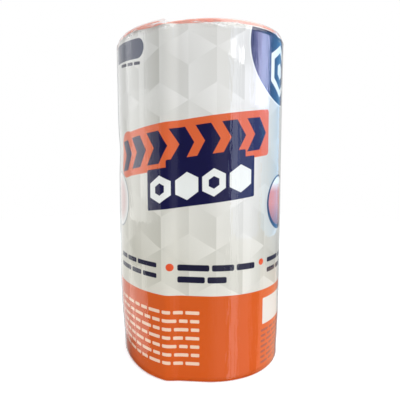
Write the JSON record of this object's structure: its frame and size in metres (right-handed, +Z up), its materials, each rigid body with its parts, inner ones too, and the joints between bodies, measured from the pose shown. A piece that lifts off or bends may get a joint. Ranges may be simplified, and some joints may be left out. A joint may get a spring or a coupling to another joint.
{
  "type": "rolled aluminium foam splint in a printed wrap",
  "caption": "A strip of thin soft aluminium between closed-cell foam layers, wound into a roll that stands on end in a printed wrap and clear film.",
  "frame": {"origin": "on the floor under the middle of the roll", "axes": "+Z up along the roll, -Y is the side that faces the viewer, with the strip's outer end on it to the left, +X to the viewer's right"},
  "size_m": [0.0618, 0.0626, 0.115],
  "materials": {
    "foam": "closed-cell foam, salmon orange, matt",
    "aluminium": "soft bare sheet, satin",
    "printed_wrap": "coated paper printed with pale grey blocks, an orange base band and plain navy and orange panels",
    "clear_film": "clear shrink film, glossy, creased at the rims"
  },
  "bodies": {
    "root": {"foam_inner": "foam", "foam_outer": "foam", "aluminium_core": "aluminium", "printed_wrap": "printed_wrap", "clear_sleeve": "clear_film"}
  },
  "joints": []
}
